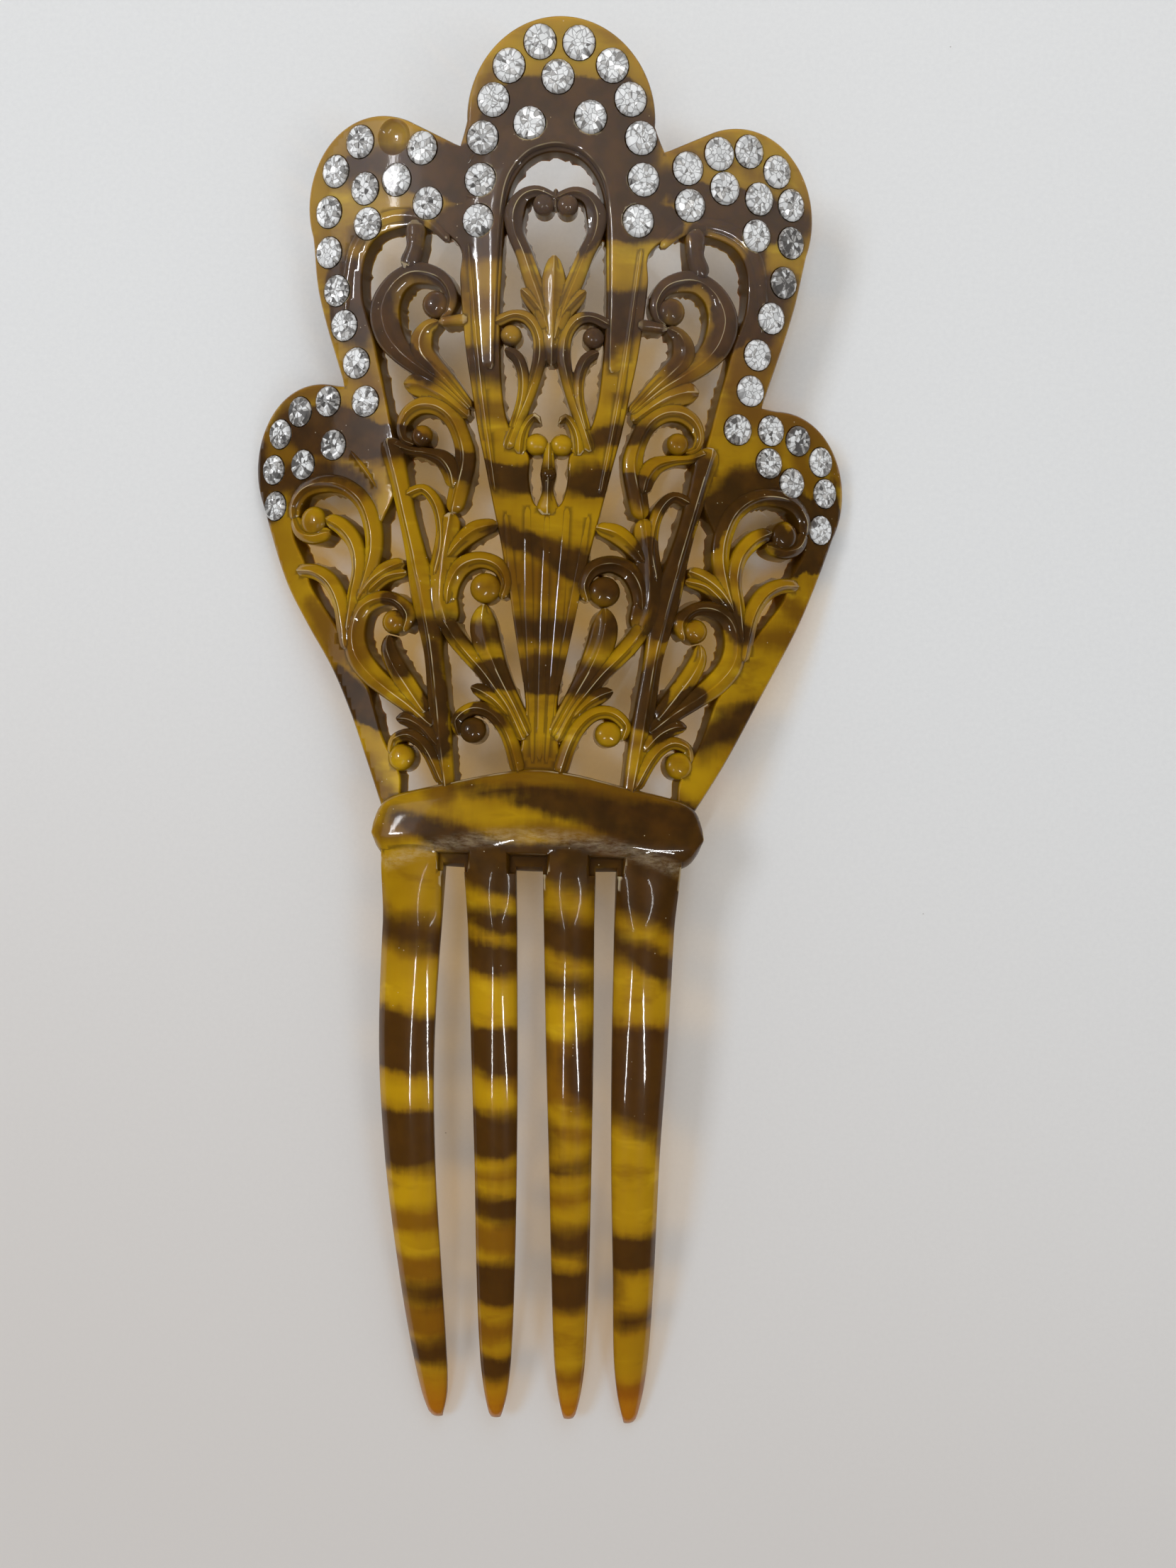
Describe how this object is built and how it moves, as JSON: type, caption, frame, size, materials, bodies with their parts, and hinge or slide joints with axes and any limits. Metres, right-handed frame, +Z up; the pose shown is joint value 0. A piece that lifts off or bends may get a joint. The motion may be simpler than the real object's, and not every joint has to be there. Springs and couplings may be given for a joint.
{
  "type": "jeweled hair comb",
  "caption": "Tall hair comb with a scalloped, pierced and scrolled crown set with round clear stones, a heading bar and long curved tines.",
  "frame": {"origin": "middle of the outer size, at the level of the surface that the comb lies on, face up", "axes": "+Y from the tine tips towards the crown, +Z up out of the jewelled face, +X to the right seen from the face"},
  "size_m": [0.085, 0.1901, 0.0236],
  "materials": {
    "shell": "gloss, honey and dark brown mottled, translucent",
    "stone": "clear cut glass, foiled behind"
  },
  "bodies": {
    "root": {"comb_body": "shell", "stones_top": "stone", "stones_upper_left": "stone", "stones_upper_right": "stone", "stones_lower_left": "stone", "stones_lower_right": "stone"}
  },
  "joints": []
}
